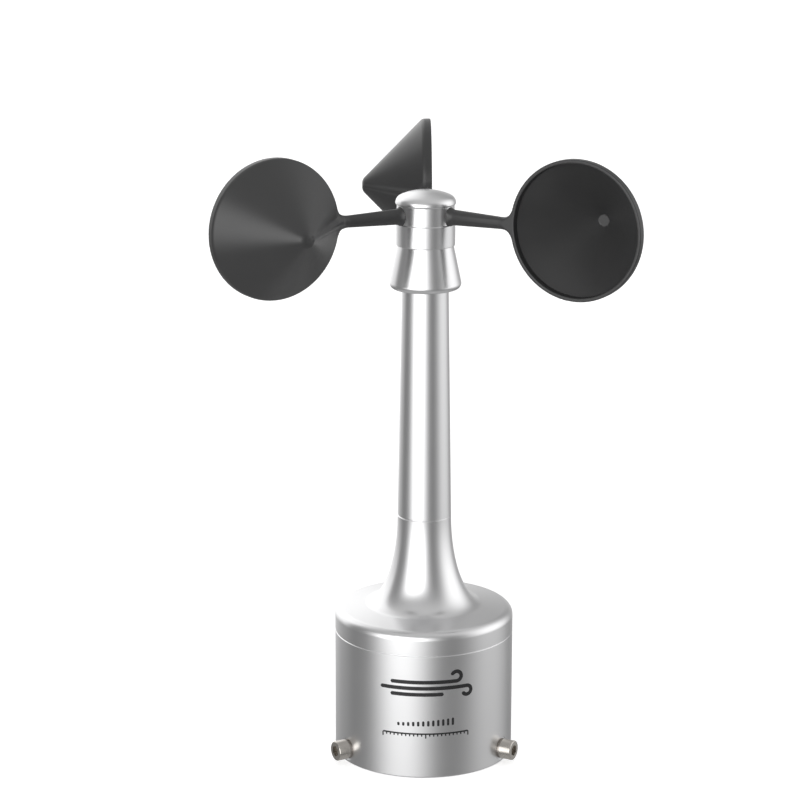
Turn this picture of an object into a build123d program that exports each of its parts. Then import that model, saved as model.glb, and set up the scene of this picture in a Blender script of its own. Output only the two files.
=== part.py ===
from build123d import *
import math
import os

# Cup anemometer: a mast-mounted wind speed sensor. Three conical cups turn a shaft that
# runs down a slim column into the base, where a slotted disc passes through a light gate.
# Origin: on the turning axis, in the plane of the base's lower face. +Z is up.

os.makedirs("parts", exist_ok=True)

# ---- base housing -----------------------------------------------------------
base_radius = 45.0
base_height = 64.0            # the seam between base and upper housing
seam_chamfer = 0.35           # on both edges of each visible seam
foot_chamfer = 0.6
socket_radius = 35.0          # slips over the mast spigot
socket_depth = 20.0
ledge_top = 30.0              # top of the thick lower ring
ledge_bore_radius = 28.0
chamber_radius = 40.5         # electronics chamber above the ledge
wall_screw_circle = 34.0      # radius on which plate screws and standoffs stand
wall_screw_depth = 8.0

# ---- radial clamp screws, M6 with socket head -------------------------------
clamp_height = 7.1
clamp_angles = [90.0, 210.0, 330.0]
clamp_thread_radius = 3.0
clamp_head_radius = 5.0
clamp_head_height = 6.0
clamp_head_round = 0.6
clamp_length = 10.0
clamp_hex_flats = 5.0
clamp_hex_depth = 3.0
spot_face_radius = 6.0
spot_face_depth = 0.6
washer_thickness = 1.6
washer_radius = 4.95
washer_split = 1.0

# ---- upper housing ----------------------------------------------------------
shoulder_start = 71.7         # the cylinder ends and the edge rounding begins
shoulder_round = 4.5
shoulder_slope = 7.0          # degrees, rising towards the neck
neck_radius = 13.5            # at the column seam
column_seam = 124.0
sweep_width = 17.2            # half axes of the elliptical sweep from shoulder to neck
sweep_height = 46.4
spigot_depth = 10.0           # the part of the upper housing inside the base
spigot_radius = 40.45
spigot_bore_radius = 37.0
neck_bore_radius = 11.0
neck_bore_bottom = 98.0

# ---- column -----------------------------------------------------------------
column_foot = 99.0
column_top = 258.0
column_taper = 0.0168         # loss of radius per millimetre of height
column_bore_radius = 7.4
column_spigot_radius = 10.98

# ---- ball bearings, 8 x 16 x 5 ----------------------------------------------
bearing_outer_radius = 8.0
bearing_width = 5.0
ball_radius = 0.95
ball_count = 9
pitch_radius = 6.0
raceway_radius = 1.0
inner_land_radius = 5.4
outer_land_radius = 6.6
shield_recess_radius = 7.1
shield_recess_depth = 0.5
shield_thickness = 0.25
shield_inset = 0.2            # below the end faces of the bearing
cage_thickness = 0.5
cage_height = 2.7
upper_bearing_bottom = 251.0
lower_bearing_bottom = 103.0
circlip_play = 0.03           # a groove is this much wider on each side
seat_circlip_thickness = 1.0
seat_groove_radius = 8.4
lower_seat_circlip_bottom = 100.4
upper_seat_circlip_bottom = 256.05
circlip_gap = 1.6
circlip_eye_angle = 14.0
circlip_eye_radius = 0.75
spring_foot_radius = 7.95     # conical spring washer under the lower bearing
spring_crown_radius = 7.15
spring_thickness = 0.35

# ---- shaft ------------------------------------------------------------------
shaft_radius = 4.0
shaft_bottom = 57.0
shaft_step = 266.0
stud_radius = 3.0             # threaded top of the shaft
stud_top = 286.5
press_play = 0.01             # radial play between pressed or glued pieces
shaft_circlip_thickness = 0.8
shaft_groove_radius = 3.8
shaft_circlip_bottoms = [102.1, 108.1, 250.1]
drive_pin_radius = 1.0
drive_pin_length = 16.0
drive_pin_height = 263.6
shaft_end_chamfer = 0.5

# ---- rotor hub --------------------------------------------------------------
rotor_rest_angle = -3.1       # degrees the rotor stands turned against the base at rest
arm_height = 277.1
skirt_bottom = 240.3
skirt_top = 262.0
skirt_top_radius = 13.8
skirt_lip_radius = 17.75
skirt_lip_height = 243.3
skirt_lip_round = 2.6
skirt_lip_inner_radius = 15.0
skirt_web_bottom = 258.6
skirt_web_inner_radius = 12.3
skirt_boss_radius = 5.3
collar_radius = 14.6
collar_top = 272.9
collar_round = 0.3
stem_radius = 14.2
cap_bottom = 282.2
cap_radius = 14.9
cap_rim_height = 282.9        # the cap is widest here
cap_rise = 6.3                # from there to the crown
cap_rim_round = 4.0
cap_thread_depth = 5.0

# ---- cup and arm, one moulding each -----------------------------------------
cup_centre_radius = 82.9      # turning axis to the middle of the rim
cup_radius = 34.27
cup_toe_in = 3.07             # degrees that the cup's point leans towards the turning axis
cup_band = 4.3                # straight part behind the rim
cup_point_depth = 38.2        # rim plane to the point that the cone's sides aim at
cup_nose_depth = 35.45        # rim plane to the small flat that the point is cut back to
cup_nose_round = 1.2
cup_floor_depth = 33.0        # rim plane to the small flat inside the point
cup_floor_radius = 2.9
cup_lip_radius = 32.4         # inside of the rim
cup_lip_chamfer = 0.6
cup_rim_round = 0.35
root_height = 8.0             # arm section at the hub
root_width = 6.6
tip_height = 5.9              # arm section at the cup
tip_width = 4.6
flare_radius = 5.0            # concave rounding from arm to rim
gusset_hub_end = (2.6, 2.6)   # starts this far outside the rim and this far behind its plane
gusset_point_end = (3.2, 4.0) # ends this far off the cup's axis and this far short of its point
gusset_section = (2.8, 4.6)   # height and width at the hub end
gusset_tip_section = (1.4, 1.6)
flare_inset = 0.3             # the flared web is this much thinner than the band on each side
plug_radius = 3.0
plug_inner_end = 6.4
arm_pin_radius = 1.0
arm_pin_offset = 9.8
arm_pin_bottom = 273.2

# ---- connector and electronics ----------------------------------------------
plate_thickness = 3.0
plate_radius = 39.5
connector_bottom = 20.6
connector_radius = 9.5
connector_flange_radius = 11.5
connector_body_radius = 8.0
connector_body_top = 37.0
insert_radius = 6.15
connector_mouth_radius = 7.6
flange_thickness = 1.4
key_size = (1.4, 1.6)         # of the key inside the connector's mouth
key_offset = 2.2              # its middle, inwards from the outside of the shell
key_start = 0.8               # its lower end, above the mouth
insert_bottom = 27.2
insert_top = 36.5
gasket_thickness = 0.6
nut_flats = 20.0
nut_height = 3.0
pin_count = 6
pin_circle = 4.2
pin_radius = 0.75
pin_bottom = 22.5
pin_top = 39.0
lead_radius = 0.5
lead_board_circle = 11.0
lead_stub = 2.6               # straight part at each end of a lead
lead_bend_radius = 1.4
screw_m3_radius = 1.46
thread_m3_radius = 1.5
clearance_m3_radius = 1.7
head_m3_radius = 2.75
head_m3_height = 2.0
head_m3_round = 0.6
hex_m3_flats = 2.0
hex_m3_depth = 1.1
standoff_height = 14.0
standoff_flats = 5.5
standoff_thread_depth = 10.0
board_radius = 37.0
board_thickness = 1.6
disc_bottom = 57.4
disc_thickness = 0.6
disc_radius = 18.5
disc_slot_count = 24
disc_slot_width = 2.2
disc_slot_length = 4.0
disc_flange_radius = 10.0     # of the disc's hub
disc_hub_radius = 7.5


def save(piece, name):
    piece.part.label = name
    export_step(piece.part, f"parts/{name}.step")


def radial_plane(angle, distance, height):
    """Plane across a radial direction at a distance from the axis, its normal outwards."""
    turn = math.radians(angle)
    outward = Vector(math.cos(turn), math.sin(turn), 0)
    sideways = Vector(-math.sin(turn), math.cos(turn), 0)
    return Plane(origin=outward * distance + Vector(0, 0, height), x_dir=sideways, z_dir=outward)


def hexagon_radius(flats):
    return flats / math.sqrt(3)


# ============================ base housing ===================================
with BuildPart() as base_housing:
    with BuildSketch(Plane.XZ):
        with BuildLine():
            Polyline(
                (socket_radius, 0),
                (base_radius, 0),
                (base_radius, base_height),
                (chamber_radius, base_height),
                (chamber_radius, ledge_top),
                (ledge_bore_radius, ledge_top),
                (ledge_bore_radius, socket_depth),
                (socket_radius, socket_depth),
                close=True,
            )
        make_face()
    revolve(axis=Axis.Z)
    foot_rim = base_housing.edges().filter_by_position(Axis.Z, 0, 0)
    chamfer(foot_rim.sort_by(SortBy.LENGTH)[-1], length=foot_chamfer)
    seam_rim = base_housing.edges().filter_by_position(Axis.Z, base_height, base_height)
    chamfer(seam_rim.sort_by(SortBy.LENGTH)[-1], length=seam_chamfer)
    for angle in clamp_angles:
        with BuildSketch(radial_plane(angle, base_radius - spot_face_depth, clamp_height)):
            Circle(spot_face_radius)
        extrude(amount=2 * spot_face_depth, mode=Mode.SUBTRACT)
        with BuildSketch(radial_plane(angle, socket_radius / 2, clamp_height)):
            Circle(clamp_thread_radius)
        extrude(amount=base_radius, mode=Mode.SUBTRACT)
    with BuildSketch(Plane.XY.offset(ledge_top)):
        with PolarLocations(wall_screw_circle, 6, start_angle=30):
            Circle(thread_m3_radius)
    extrude(amount=-wall_screw_depth, mode=Mode.SUBTRACT)
save(base_housing, "base_housing")

# ============================ clamp screws ===================================
head_seat = base_radius - spot_face_depth + washer_thickness

with BuildPart() as clamp_screws:
    for angle in clamp_angles:
        with BuildSketch(radial_plane(angle, head_seat, clamp_height)):
            Circle(clamp_head_radius)
        extrude(amount=clamp_head_height)
        with BuildSketch(radial_plane(angle, head_seat, clamp_height)):
            Circle(clamp_thread_radius - press_play)
        extrude(amount=-clamp_length)
    head_rims = clamp_screws.edges().filter_by(
        lambda e: e.geom_type == GeomType.CIRCLE
        and abs(e.radius - clamp_head_radius) < 0.01
        and Vector(e.arc_center.X, e.arc_center.Y, 0).length > head_seat + 1
    )
    fillet(head_rims, radius=clamp_head_round)
    for angle in clamp_angles:
        with BuildSketch(radial_plane(angle, head_seat + clamp_head_height, clamp_height)):
            RegularPolygon(radius=hexagon_radius(clamp_hex_flats), side_count=6, rotation=30)
        extrude(amount=-clamp_hex_depth, mode=Mode.SUBTRACT)
save(clamp_screws, "clamp_screws")

with BuildPart() as lock_washers:
    for angle in clamp_angles:
        with BuildSketch(radial_plane(angle, base_radius - spot_face_depth, clamp_height)):
            Circle(washer_radius)
            Circle(clamp_thread_radius + 0.1, mode=Mode.SUBTRACT)
            with Locations((0, -washer_radius)):
                Rectangle(washer_split, 2 * washer_radius, rotation=20, mode=Mode.SUBTRACT)
        extrude(amount=washer_thickness)
save(lock_washers, "lock_washers")

# ============================ upper housing ==================================
slope = math.radians(shoulder_slope)
round_centre = Vector(base_radius - shoulder_round, shoulder_start)
shoulder_edge = round_centre + Vector(math.sin(slope), math.cos(slope)) * shoulder_round
sweep_centre = Vector(neck_radius + sweep_width, column_seam)
sweep_end = math.degrees(math.atan2(sweep_height * math.cos(slope), sweep_width * math.sin(slope)))
sweep_start = Vector(
    sweep_centre.X - sweep_width * math.cos(math.radians(sweep_end)),
    sweep_centre.Y - sweep_height * math.sin(math.radians(sweep_end)),
)
housing_ring_groove = (59.6, 57.0, 38.8)       # top, bottom, inner radius
bell_inside = [(14.5, 91.0), (18.0, 81.5), (26.0, 75.0), (34.0, 71.5)]   # under the sweep

with BuildPart() as bell_housing:
    with BuildSketch(Plane.XZ):
        with BuildLine():
            Polyline(
                (neck_bore_radius, column_seam),
                (neck_bore_radius, neck_bore_bottom),
                *bell_inside,
                (spigot_bore_radius, 68.5),
                (spigot_bore_radius, base_height - spigot_depth),
                (spigot_radius, base_height - spigot_depth),
                (spigot_radius, housing_ring_groove[1]),
                (housing_ring_groove[2], housing_ring_groove[1]),
                (housing_ring_groove[2], housing_ring_groove[0]),
                (spigot_radius, housing_ring_groove[0]),
                (spigot_radius, base_height),
                (base_radius - seam_chamfer, base_height),
                (base_radius, base_height + seam_chamfer),
                (base_radius, shoulder_start),
            )
            CenterArc(
                (round_centre.X, round_centre.Y),
                radius=shoulder_round,
                start_angle=0,
                arc_size=90 - shoulder_slope,
            )
            Line((shoulder_edge.X, shoulder_edge.Y), (sweep_start.X, sweep_start.Y))
            EllipticalCenterArc(
                (sweep_centre.X, sweep_centre.Y),
                x_radius=sweep_width,
                y_radius=sweep_height,
                start_angle=180,
                arc_size=sweep_end,
            )
            Line((neck_radius, column_seam), (neck_bore_radius, column_seam))
        make_face()
    revolve(axis=Axis.Z)
    neck_rim = bell_housing.edges().filter_by_position(Axis.Z, column_seam, column_seam)
    chamfer(neck_rim.sort_by(SortBy.LENGTH)[-1], length=seam_chamfer)
save(bell_housing, "bell_housing")


def save_o_ring(name, centre_radius, section_radius, height):
    with BuildPart() as o_ring:
        with BuildSketch(Plane.XZ):
            with Locations((centre_radius, height)):
                Circle(section_radius)
        revolve(axis=Axis.Z)
    save(o_ring, name)


save_o_ring("housing_o_ring", centre_radius=39.65, section_radius=0.8, height=58.3)
save_o_ring("column_o_ring", centre_radius=10.24, section_radius=0.7, height=119.1)

# ============================ column tube ====================================
column_top_radius = neck_radius - column_taper * (column_top - column_seam)
column_ring_groove = (120.2, 118.0, 9.5)       # top, bottom, inner radius
lower_seat_top = lower_bearing_bottom + bearing_width

with BuildPart() as column_tube:
    with BuildSketch(Plane.XZ):
        with BuildLine():
            Polyline(
                (bearing_outer_radius, column_foot),
                (column_spigot_radius, column_foot),
                (column_spigot_radius, column_ring_groove[1]),
                (column_ring_groove[2], column_ring_groove[1]),
                (column_ring_groove[2], column_ring_groove[0]),
                (column_spigot_radius, column_ring_groove[0]),
                (column_spigot_radius, column_seam),
                (neck_radius - seam_chamfer, column_seam),
                (neck_radius, column_seam + seam_chamfer),
                (column_top_radius, column_top),
                (bearing_outer_radius, column_top),
                (bearing_outer_radius, upper_bearing_bottom),
                (column_bore_radius, upper_bearing_bottom),
                (column_bore_radius, lower_seat_top),
                (bearing_outer_radius, lower_seat_top),
                close=True,
            )
        make_face()
    revolve(axis=Axis.Z)
    for circlip_bottom in (lower_seat_circlip_bottom, upper_seat_circlip_bottom):
        with BuildSketch(Plane.XY.offset(circlip_bottom - circlip_play)):
            Circle(seat_groove_radius)
        extrude(amount=seat_circlip_thickness + 2 * circlip_play, mode=Mode.SUBTRACT)
save(column_tube, "column_tube")


# ============================ bearings =======================================
def save_bearing(name, bottom):
    """One shielded ball bearing: races, shields, cage and balls as separate nodes."""
    middle = bottom + bearing_width / 2
    top = bottom + bearing_width
    with BuildPart() as outer_race:
        with BuildSketch(Plane.XZ):
            with BuildLine():
                Polyline(
                    (bearing_outer_radius - press_play, bottom),
                    (bearing_outer_radius - press_play, top),
                    (shield_recess_radius, top),
                    (shield_recess_radius, top - shield_recess_depth),
                    (outer_land_radius, top - shield_recess_depth),
                    (outer_land_radius, bottom + shield_recess_depth),
                    (shield_recess_radius, bottom + shield_recess_depth),
                    (shield_recess_radius, bottom),
                    close=True,
                )
            make_face()
            with Locations((pitch_radius, middle)):
                Circle(raceway_radius, mode=Mode.SUBTRACT)
        revolve(axis=Axis.Z)
    save(outer_race, f"{name}_outer_race")

    with BuildPart() as inner_race:
        with BuildSketch(Plane.XZ):
            with BuildLine():
                Polyline(
                    (shaft_radius + press_play, bottom),
                    (inner_land_radius, bottom),
                    (inner_land_radius, top),
                    (shaft_radius + press_play, top),
                    close=True,
                )
            make_face()
            with Locations((pitch_radius, middle)):
                Circle(raceway_radius, mode=Mode.SUBTRACT)
        revolve(axis=Axis.Z)
    save(inner_race, f"{name}_inner_race")

    with BuildPart() as shields:
        for height in (bottom + shield_inset, top - shield_inset - shield_thickness):
            with BuildSketch(Plane.XY.offset(height)):
                Circle(shield_recess_radius - press_play)
                Circle(inner_land_radius + 0.3, mode=Mode.SUBTRACT)
            extrude(amount=shield_thickness)
    save(shields, f"{name}_shields")

    with BuildPart() as cage:
        with BuildSketch(Plane.XY.offset(middle - cage_height / 2)):
            Circle(pitch_radius + cage_thickness / 2)
            Circle(pitch_radius - cage_thickness / 2, mode=Mode.SUBTRACT)
        extrude(amount=cage_height)
        for i in range(ball_count):
            with BuildSketch(radial_plane(360 / ball_count * i, pitch_radius - 2, middle)):
                Circle(raceway_radius)
            extrude(amount=4, mode=Mode.SUBTRACT)
    save(cage, f"{name}_cage")

    with BuildPart() as balls:
        for i in range(ball_count):
            turn = math.radians(360 / ball_count * i)
            with Locations((pitch_radius * math.cos(turn), pitch_radius * math.sin(turn), middle)):
                Sphere(ball_radius)
    save(balls, f"{name}_balls")


save_bearing("upper_bearing", upper_bearing_bottom)
save_bearing("lower_bearing", lower_bearing_bottom)


def circlip(height, thickness, inner, outer, eye_circle):
    """Retaining ring, open towards +X, with an eye for the pliers at each end."""
    with BuildPart() as ring:
        with BuildSketch(Plane.XY.offset(height)):
            Circle(outer)
            Circle(inner, mode=Mode.SUBTRACT)
            with Locations((outer, 0)):
                Rectangle(outer, circlip_gap, mode=Mode.SUBTRACT)
            for turn in (-circlip_eye_angle, circlip_eye_angle):
                with PolarLocations(eye_circle, 1, start_angle=turn):
                    Circle(circlip_eye_radius)
                    Circle(circlip_eye_radius / 2, mode=Mode.SUBTRACT)
        extrude(amount=thickness)
    return ring.part


seat_rings = []
for circlip_bottom in (lower_seat_circlip_bottom, upper_seat_circlip_bottom):
    seat_rings.append(
        circlip(
            circlip_bottom,
            seat_circlip_thickness,
            inner=outer_land_radius + 0.4,
            outer=seat_groove_radius - 0.02,
            eye_circle=outer_land_radius + 0.3,
        )
    )
with BuildPart() as bearing_circlips:
    add(seat_rings)
save(bearing_circlips, "bearing_circlips")

spring_bottom = lower_seat_circlip_bottom + seat_circlip_thickness
with BuildPart() as preload_spring:
    with BuildSketch(Plane.XZ):
        with BuildLine():
            Polyline(
                (spring_foot_radius, spring_bottom),
                (spring_foot_radius, spring_bottom + spring_thickness),
                (spring_crown_radius + spring_thickness, lower_bearing_bottom),
                (spring_crown_radius, lower_bearing_bottom),
                (spring_foot_radius - spring_thickness, spring_bottom),
                close=True,
            )
        make_face()
    revolve(axis=Axis.Z)
save(preload_spring, "preload_spring")

# ============================ shaft ==========================================
with BuildPart() as shaft:
    with BuildSketch(Plane.XZ):
        with BuildLine():
            Polyline(
                (0, shaft_bottom),
                (shaft_radius - shaft_end_chamfer, shaft_bottom),
                (shaft_radius, shaft_bottom + shaft_end_chamfer),
                (shaft_radius, shaft_step),
                (stud_radius, shaft_step),
                (stud_radius, stud_top - shaft_end_chamfer),
                (stud_radius - shaft_end_chamfer, stud_top),
                (0, stud_top),
                close=True,
            )
        make_face()
    revolve(axis=Axis.Z)
    for circlip_bottom in shaft_circlip_bottoms:
        with BuildSketch(Plane.XY.offset(circlip_bottom - circlip_play)):
            Circle(shaft_radius + 1)
            Circle(shaft_groove_radius, mode=Mode.SUBTRACT)
        extrude(amount=shaft_circlip_thickness + 2 * circlip_play, mode=Mode.SUBTRACT)
    with BuildSketch(Plane.YZ.offset(-shaft_radius - 1)):
        with Locations((0, drive_pin_height)):
            Circle(drive_pin_radius)
    extrude(amount=2 * shaft_radius + 2, mode=Mode.SUBTRACT)
save(shaft, "shaft")

shaft_rings = []
for circlip_bottom in shaft_circlip_bottoms:
    shaft_rings.append(
        circlip(
            circlip_bottom,
            shaft_circlip_thickness,
            inner=shaft_groove_radius + 0.02,
            outer=inner_land_radius - 0.3,
            eye_circle=inner_land_radius - 0.3,
        )
    )
with BuildPart() as shaft_circlips:
    add(shaft_rings)
save(shaft_circlips, "shaft_circlips")

with BuildPart() as drive_pin:
    with BuildSketch(Plane.YZ.offset(-drive_pin_length / 2)):
        with Locations((0, drive_pin_height)):
            Circle(drive_pin_radius - press_play)
    extrude(amount=drive_pin_length)
    chamfer(drive_pin.edges().filter_by(GeomType.CIRCLE), length=0.2)
save(drive_pin, "drive_pin")

# ============================ rotor skirt ====================================
lip_lean = (skirt_lip_radius - skirt_top_radius) / (skirt_top - skirt_lip_height)
skirt_corner_radius = skirt_lip_radius + lip_lean * (skirt_lip_height - skirt_bottom)
bearing_top = upper_bearing_bottom + bearing_width

with BuildPart() as rotor_skirt:
    with BuildSketch(Plane.XZ) as skirt_section:
        with BuildLine():
            Polyline(
                (skirt_top_radius, skirt_top),
                (skirt_corner_radius, skirt_bottom),
                (skirt_lip_inner_radius, skirt_bottom),
                (skirt_web_inner_radius, skirt_web_bottom),
                (skirt_boss_radius, skirt_web_bottom),
                (skirt_boss_radius, bearing_top),
                (shaft_radius + press_play, bearing_top),
                (shaft_radius + press_play, skirt_top),
                close=True,
            )
        make_face()
        fillet(skirt_section.vertices().sort_by(Axis.X)[-1], radius=skirt_lip_round)
    revolve(axis=Axis.Z)
save(rotor_skirt, "rotor_skirt")

# ============================ arm hub ========================================
arm_angles = [rotor_rest_angle + angle for angle in (90.0, 210.0, 330.0)]


def arm_pin_places():
    """Where the three arm pins stand about the turning axis, as (x, y) points."""
    places = []
    for angle in arm_angles:
        turn = math.radians(angle)
        places.append((arm_pin_offset * math.cos(turn), arm_pin_offset * math.sin(turn)))
    return places


with BuildPart() as arm_hub:
    with BuildSketch(Plane.XZ):
        with BuildLine():
            Polyline(
                (shaft_radius + press_play, skirt_top),
                (collar_radius, skirt_top),
                (collar_radius, collar_top),
                (stem_radius, collar_top),
                (stem_radius, cap_bottom),
                (stud_radius + press_play, cap_bottom),
                (stud_radius + press_play, shaft_step),
                (shaft_radius + press_play, shaft_step),
                close=True,
            )
        make_face()
    revolve(axis=Axis.Z)
    collar_rim = arm_hub.edges().filter_by(
        lambda e: e.geom_type == GeomType.CIRCLE and abs(e.radius - collar_radius) < 0.01
    )
    fillet(collar_rim.sort_by(Axis.Z)[-1], radius=collar_round)
    chamfer(collar_rim.sort_by(Axis.Z)[0], length=seam_chamfer)
    with BuildSketch(Plane.XY.offset(skirt_top)):
        Rectangle(drive_pin_length + 1, 2 * drive_pin_radius + 0.1)
    extrude(amount=drive_pin_height - skirt_top + drive_pin_radius + 0.05, mode=Mode.SUBTRACT)
    for angle in arm_angles:
        with BuildSketch(radial_plane(angle, plug_inner_end - 0.2, arm_height)):
            Circle(plug_radius + press_play)
        extrude(amount=collar_radius, mode=Mode.SUBTRACT)
    with BuildSketch(Plane.XY.offset(cap_bottom)):
        with Locations(*arm_pin_places()):
            Circle(arm_pin_radius)
    extrude(amount=arm_pin_bottom - cap_bottom, mode=Mode.SUBTRACT)
save(arm_hub, "arm_hub")

with BuildPart() as arm_pins:
    with BuildSketch(Plane.XY.offset(arm_pin_bottom)):
        with Locations(*arm_pin_places()):
            Circle(arm_pin_radius - press_play)
    extrude(amount=cap_bottom - arm_pin_bottom - 0.1)
save(arm_pins, "arm_pins")

# ============================ cap nut ========================================
rim_centre_x = cap_radius - cap_rim_round
under_round = cap_rim_height - cap_bottom
dome_radius = (rim_centre_x**2 + cap_rise**2 - cap_rim_round**2) / (2 * (cap_rise - cap_rim_round))
dome_centre_z = cap_rim_height + cap_rise - dome_radius
dome_edge_angle = math.degrees(math.atan2(cap_rim_height - dome_centre_z, rim_centre_x))

with BuildPart() as cap_nut:
    with BuildSketch(Plane.XZ):
        with BuildLine():
            CenterArc(
                (0, dome_centre_z),
                radius=dome_radius,
                start_angle=dome_edge_angle,
                arc_size=90 - dome_edge_angle,
            )
            CenterArc(
                (rim_centre_x, cap_rim_height),
                radius=cap_rim_round,
                start_angle=0,
                arc_size=dome_edge_angle,
            )
            CenterArc(
                (cap_radius - under_round, cap_rim_height),
                radius=under_round,
                start_angle=-90,
                arc_size=90,
            )
            Polyline(
                (cap_radius - under_round, cap_bottom),
                (stud_radius + press_play, cap_bottom),
                (stud_radius + press_play, cap_bottom + cap_thread_depth),
                (0, cap_bottom + cap_thread_depth),
                (0, cap_rim_height + cap_rise),
            )
        make_face()
    revolve(axis=Axis.Z)
save(cap_nut, "cap_nut")


# ============================ cups ===========================================
def ellipse_at(plane, width, height):
    with BuildSketch(plane) as section:
        Ellipse(width / 2, height / 2)
    return section.sketch


cone_half_angle = math.atan2(cup_radius, cup_point_depth - cup_band)
point_half_angle = math.degrees(cone_half_angle)
nose_centre_depth = cup_nose_depth - cup_nose_round
nose_flat_radius = (
    (cup_point_depth - nose_centre_depth) * math.sin(cone_half_angle) - cup_nose_round
) / math.cos(cone_half_angle)
nose_centre = (nose_flat_radius, nose_centre_depth)
nose_edge = (
    nose_flat_radius + cup_nose_round * math.cos(cone_half_angle),
    nose_centre_depth + cup_nose_round * math.sin(cone_half_angle),
)
flare_centre_height = tip_height / 2 + flare_radius
flare_reach = math.sqrt((cup_radius + flare_radius) ** 2 - flare_centre_height**2)
flare_rim_part = cup_radius / (cup_radius + flare_radius)
flare_rim_reach = flare_reach * flare_rim_part
flare_rim_height = flare_centre_height * flare_rim_part
flare_turn = math.degrees(math.atan2(flare_centre_height, flare_reach))


def save_cup(name, arm_angle):
    """Conical cup with its arm. The arm leaves the hub along arm_angle; the cup's point
    faces anticlockwise seen from above, so the rotor turns that way."""
    turn = math.radians(arm_angle)
    outward = Vector(math.cos(turn), math.sin(turn), 0)
    ahead = Vector(-math.sin(turn), math.cos(turn), 0)
    lean = math.radians(cup_toe_in)
    point_dir = ahead * math.cos(lean) - outward * math.sin(lean)
    hub_dir = (outward * math.cos(lean) + ahead * math.sin(lean)) * -1
    rim_centre = outward * cup_centre_radius + Vector(0, 0, arm_height)
    section_plane = Plane(origin=rim_centre, x_dir=hub_dir, z_dir=hub_dir.cross(point_dir))
    rim_plane = Plane(origin=rim_centre, x_dir=hub_dir, z_dir=point_dir)
    cup_axis = Axis(rim_centre, point_dir)
    arm_end = cup_centre_radius - cup_radius + 1.2
    arm_sections = [
        ellipse_at(radial_plane(arm_angle, stem_radius - 1, arm_height), root_width, root_height),
        ellipse_at(radial_plane(arm_angle, arm_end, arm_height), tip_width, tip_height),
    ]
    hub_end = Vector(cup_radius + gusset_hub_end[0], gusset_hub_end[1], 0)
    point_end = Vector(gusset_point_end[0], cup_point_depth - gusset_point_end[1], 0)
    gusset_start = section_plane.from_local_coords(hub_end)
    gusset_stop = section_plane.from_local_coords(point_end)
    gusset_dir = (gusset_stop - gusset_start).normalized()
    start_plane = Plane(origin=gusset_start, x_dir=(0, 0, 1), z_dir=gusset_dir)
    stop_plane = Plane(origin=gusset_stop, x_dir=(0, 0, 1), z_dir=gusset_dir)
    gusset_sections = [
        ellipse_at(start_plane, *gusset_section),
        ellipse_at(stop_plane, *gusset_tip_section),
    ]
    with BuildPart() as cup:
        with BuildSketch(section_plane):
            with BuildLine():
                CenterArc(nose_centre, cup_nose_round, point_half_angle, 90 - point_half_angle)
                Polyline(
                    (nose_flat_radius, cup_nose_depth),
                    (0, cup_nose_depth),
                    (0, 0),
                    (cup_radius - cup_rim_round, 0),
                    (cup_radius, cup_rim_round),
                    (cup_radius, cup_band),
                    nose_edge,
                )
            make_face()
        revolve(axis=cup_axis)
        loft(arm_sections)
        loft(gusset_sections)
        with BuildSketch(rim_plane.offset(flare_inset)):
            with BuildLine():
                Line((flare_reach, -tip_height / 2), (flare_reach, tip_height / 2))
                CenterArc((flare_reach, flare_centre_height), flare_radius, -90, -90 + flare_turn)
                Polyline(
                    (flare_rim_reach, flare_rim_height),
                    (flare_rim_reach - 2, flare_rim_height),
                    (flare_rim_reach - 2, -flare_rim_height),
                    (flare_rim_reach, -flare_rim_height),
                )
                CenterArc((flare_reach, -flare_centre_height), flare_radius, 90, 90 - flare_turn)
            make_face()
        extrude(amount=cup_band - 2 * flare_inset)
        with BuildSketch(section_plane):
            with BuildLine():
                Polyline(
                    (0, 0),
                    (cup_lip_radius + cup_lip_chamfer, 0),
                    (cup_lip_radius, cup_lip_chamfer),
                    (cup_lip_radius, cup_floor_depth + cup_floor_radius - cup_lip_radius),
                    (cup_floor_radius, cup_floor_depth),
                    (0, cup_floor_depth),
                    close=True,
                )
            make_face()
        revolve(axis=cup_axis, mode=Mode.SUBTRACT)
        with BuildSketch(Plane.XY.offset(arm_height - root_height)):
            Circle(stem_radius + press_play)
        extrude(amount=2 * root_height, mode=Mode.SUBTRACT)
        with BuildSketch(radial_plane(arm_angle, plug_inner_end, arm_height)):
            Circle(plug_radius)
        extrude(amount=stem_radius - plug_inner_end + 2)
        pin_place = outward * arm_pin_offset
        with BuildSketch(Plane.XY.offset(arm_height - root_height)):
            with Locations((pin_place.X, pin_place.Y)):
                Circle(arm_pin_radius)
        extrude(amount=2 * root_height, mode=Mode.SUBTRACT)
    save(cup, name)


for number, arm_angle in enumerate(arm_angles, start=1):
    save_cup(f"cup_{number}", arm_angle)

# ============================ chopper disc ===================================
disc_top = disc_bottom + disc_thickness
hub_flange_top = disc_top + 2.0
hub_top = disc_top + 8.0
set_screw_height = disc_top + 5.0
set_screw_inner_end = shaft_radius + 2 * press_play
set_screw_length = 3.2
set_screw_flats = 1.5

with BuildPart() as chopper_disc:
    with BuildSketch(Plane.XY.offset(disc_bottom)):
        Circle(disc_radius)
        Circle(shaft_radius + press_play, mode=Mode.SUBTRACT)
        with PolarLocations(disc_radius - disc_slot_length / 2 + 0.5, disc_slot_count):
            Rectangle(disc_slot_length + 1, disc_slot_width, mode=Mode.SUBTRACT)
    extrude(amount=disc_thickness)
save(chopper_disc, "chopper_disc")

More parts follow.
